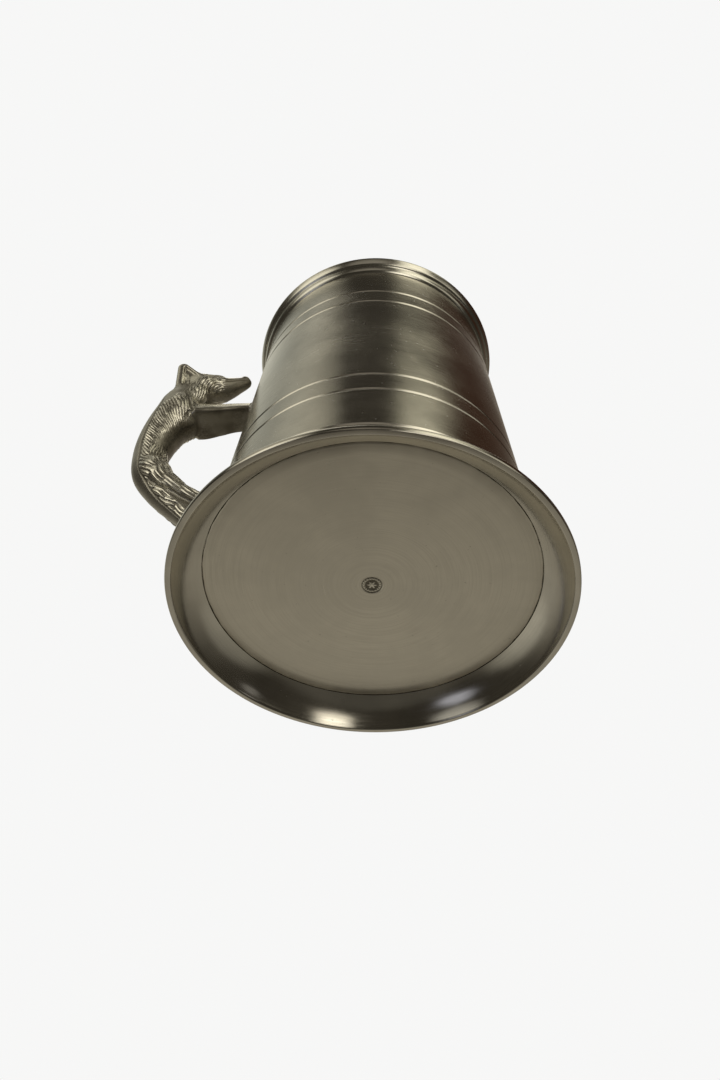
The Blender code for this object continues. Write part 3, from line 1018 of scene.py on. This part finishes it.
def head_fur(skin):
    """Short locks over the cheek and down the throat, clear of the eye and the ear."""
    _, gone, lift, half = locate(skin.points, HEAD)
    around = np.arctan2(skin.s, lift) * half
    locks = combed(gone, around, 0.30 * gone, pitch=1.05, length=3.6, seed=4)
    eye_gap = np.linalg.norm(np.stack([skin.r, skin.s, skin.z], 1) - EYE, axis=1)
    ear_gap = polygon_distance(skin.r, skin.z, EAR) + np.clip(4.2 - skin.s, 0, 2)
    share = fade(skin.r, 51.8, 53.4) * fade_out(skin.r, 63, 65)
    share *= fade(skin.z, 93, 95) * fade_out(skin.z, 109.5, 111.5)
    share *= fade(skin.s, 1.2, 2.4) * fade(eye_gap, 1.3, 2.1) * fade(ear_gap, 1.2, 2.2)
    return share, 0.34 * locks


def lay_coat(points):
    """The height of the fur over the fox's surface and the share of fur at each point."""
    skin = Skin(points)
    fur = np.zeros(len(points))
    height = np.zeros(len(points))
    for region in (flank_fur, tail_fur, leg_fur, head_fur):
        share, locks = region(skin)
        height = height * (1 - share) + share * locks
        fur = fur * (1 - share) + share
    return height, fur


def cut_lines(coat):
    """The edge of the smooth band down the back, the mouth, the shoulders and the toes."""
    line = BACKBONE[(BACKBONE[:, 2] < 99.0) & (BACKBONE[:, 2] > 17.0)]
    run = np.gradient(line[:, :3], axis=0)
    run /= np.linalg.norm(run, axis=1, keepdims=True)
    outward = np.stack([-run[:, 2], np.zeros(len(run)), run[:, 0]], 1)
    turn = np.radians(band_edge(line[:, 2]))[:, None]
    mouth = [(45.8, 1.7, 111.8), (48.6, 2.4, 110.0), (51.4, 3.4, 107.6), (53.6, 4.2, 106.4)]
    shoulder = [(64.0, 6.5, 95.0), (61.4, 7.0, 89.5), (60.4, 7.0, 84.5), (60.6, 5.5, 79.5)]
    lines = [(mouth, 90, 0.18, 0.40), (shoulder, 90, 0.5, 0.7)]    # route, points, depth, width
    for between in (0.95, 2.25, 3.5):
        toes = [(44.0, between, 93.6), (42.2, between, 93.6), (40.4, between, 93.6)]
        lines.append((toes, 24, 0.32, 0.42))
    for side in (1, -1):
        spoke = outward * np.cos(turn) + np.sin(turn) * np.array((0, side, 0))
        edge = onto_surface(coat.field, line[:, :3] + spoke * line[:, 3:])
        coat.line(along(edge, 500), depth=0.17, width=0.50, ends=0.05)
        for route, count, depth, width in lines:
            trail = onto_surface(coat.field, along(route, count) * (1, side, 1))
            coat.line(trail, depth, width)


def ear_ribs(coat):
    """Three raised ribs in the hollow of each ear."""
    for side in (1, -1):
        for lean, reach in ((-0.30, 67.4), (0.0, 66.3), (0.32, 65.0)):
            route = [(reach, 4.6, 103.5), (reach + 0.4 + lean, 4.8, 106.8),
                     (reach + 0.9 + lean * 2, 5.0, 110.0)]
            trail = onto_surface(coat.field, along(route, 45) * (1, side, 1))
            coat.rib(trail, height=0.40, width=0.42)


# ------------------ the fox and its solder

def rubbed_and_shaded(points, normals, fur, coat, rise, open_air):
    """Rubbed bright on the ridges and dark in the hollows, 0 to 1, with painted highlights and painted
    shade laid over it.
    """
    reach, height = points[:, 0], points[:, 2]
    # Painted light on the forelegs: darker along their near side, with a painted highlight on the
    # faces that look upwards.
    leg_side = fade_out(reach, 60.5, 63.0) * fade(height, 82.0, 83.0) * fade_out(height, 92.5, 94.0)
    leg_top = leg_side * fade(normals[:, 2], -0.05, 0.30)
    # Painted shade on the faces turned towards the drum.
    inward = fade(-normals[:, 0], 0.15, 0.75) * fade(height, 50.0, 58.0) * fade_out(height, 90.0, 95.0)
    # Painted highlight on the upper side of the snout; painted shade on the rest of the snout and
    # under the throat.
    above_neck = fade(height, 97.0, 99.0)
    snout = above_neck * fade_out(reach, 52.5, 55.5)
    throat = above_neck * fade_out(reach, 58.5, 60.5) * fade(-normals[:, 2], 0.0, 0.4)
    ears = fade(height, 101.5, 103.5) * fade(reach, 61.0, 63.0)
    bare = 0.44 - 0.34 * leg_side + 0.80 * leg_top - 0.34 * inward
    bare += 0.75 * snout * fade(normals[:, 2], 0.05, 0.50) - 0.26 * np.maximum(snout, throat)
    bare += 0.24 * ears
    furred = 0.15 + rise / 0.37
    wear_and_shading = (1 - fur) * bare + fur * furred + 1.2 * coat.rise - 1.9 * coat.cut
    # Painted shade in creases, where the surface has little open air round it.
    return np.clip(wear_and_shading, 0, 1) * (0.45 + 0.55 * open_air)


def cast_mesh(name, points, quads):
    """A smooth mesh of a field's surface, moved from the handle's coordinates to the frame's."""
    mesh = bpy.data.meshes.new(name)
    world = np.stack([AXIS_X / MM - points[:, 0], points[:, 1], points[:, 2]], 1) * MM
    mesh.from_pydata(world.tolist(), [], quads[:, ::-1].tolist())
    mesh.shade_smooth()
    return mesh


def make_fox(material):
    """The cast fox with its coat, let a little way into the drum. Gives its untrimmed field."""
    sunk, fur_settles, air = 0.1, 0.16, 1.8
    field = fox_field()
    _, axes = field.window(field.low, field.low + 200)
    past_wall = (-drum_distance(axes) - sunk).astype(np.float32)
    solid = Field(field.low, np.maximum(field.values, past_wall))
    points, quads = solid.surface()
    points = onto_surface(solid, points, 1)
    coat = Coat(field, points)
    fur_height, fur = lay_coat(points)
    cut_lines(coat)
    ear_ribs(coat)
    normals = solid.slope(points)
    clear = np.clip((drum_distance(points.T) - 0.6) / 1.5, 0, 1)
    rise = np.maximum(fur_height, coat.rise)
    lift = (rise - fur_settles * fur - coat.cut) * clear
    points = points + normals * lift[:, None]
    # How open the surface is round each point: it sets the painted shade in creases.
    open_air = np.clip(field.sample(points + normals * air) / air, 0, 1)
    mesh = cast_mesh("fox_cast", points, quads)
    attribute = mesh.attributes.new("wear_and_shading", "FLOAT", "POINT")
    wear_and_shading = rubbed_and_shaded(points, normals, fur, coat, rise, open_air)
    attribute.data.foreach_set("value", wear_and_shading.astype(np.float32))
    finished("fox_cast", mesh, material, "cast_pewter", "fox_handle")
    return field


def make_solder(field, name, node, low, high, material):
    """A fillet of solder round one landing: where the blend of fox and drum leaves both.

    low and high are the corners (reach, side, height) of the box that it is kept to."""
    blend, sunk, least = 2.6, 0.35, 0.03
    cut, axes = field.window(np.array(low) - 1.0, np.array(high) + 1.0)
    fox = field.values[cut]
    drum = drum_distance(axes).astype(np.float32)
    joined = smooth_min(fox, drum, blend)
    nearest = np.minimum(fox, drum)
    fillet = np.maximum(joined, -(nearest + sunk))
    fillet = np.maximum(fillet, (joined - nearest + least) * 2)
    for axis, start, end in zip(axes, low, high):
        fillet = np.maximum(fillet, np.maximum(start - axis, axis - end))
    corner = [axis.min() for axis in axes]
    points, quads = Field(corner, fillet.astype(np.float32)).surface()
    finished(name, cast_mesh(name, points, quads), material, "solder", node)


# Solder round the landings: name, CAD node, and two corners of the box it is kept to.
FILLETS = [
    ("forepaw_fillet", "forepaw_solder", (34, -9.5, 80), (50, 9.5, 100)),
    ("left_hind_fillet", "left_hind_paw_solder", (34, 0.15, 29.4), (51, 9.5, 44)),
    ("right_hind_fillet", "right_hind_paw_solder", (34, -9.5, 29.4), (51, -0.15, 44)),
    ("tail_fillet", "tail_solder", (34, -9.5, 15), (53, 9.5, 29.1)),
]


def main():
    make_camera()
    make_world()
    make_floor()
    make_lamp()
    spun = spun_pewter("spun_pewter", (0.60, 0.575, 0.51), 0.20, lines=0.22)
    rim = spun_pewter("spun_pewter_rim", (0.62, 0.60, 0.53), 0.19, lines=0.25)
    foot = spun_pewter("spun_pewter_foot", (0.58, 0.555, 0.49), 0.16, lines=0.25, brushed=0.5)
    satin = spun_pewter("satin_pewter", (0.69, 0.655, 0.565), 0.34, lines=0.05, blotch=0.09,
                        brushed=0.0)
    solder = spun_pewter("solder", (0.58, 0.56, 0.51), 0.34, lines=0.05, brushed=0.0)
    make_drum(spun)
    make_rim(rim)
    make_foot(foot)
    make_disc(satin)
    make_base_seam(solder)
    cast = cast_pewter("cast_pewter", (0.87, 0.835, 0.73), (0.14, 0.125, 0.097), 0.25)
    make_mark(cast)
    field = make_fox(cast)
    for name, node, low, high in FILLETS:
        make_solder(field, name, node, low, high, solder)


main()
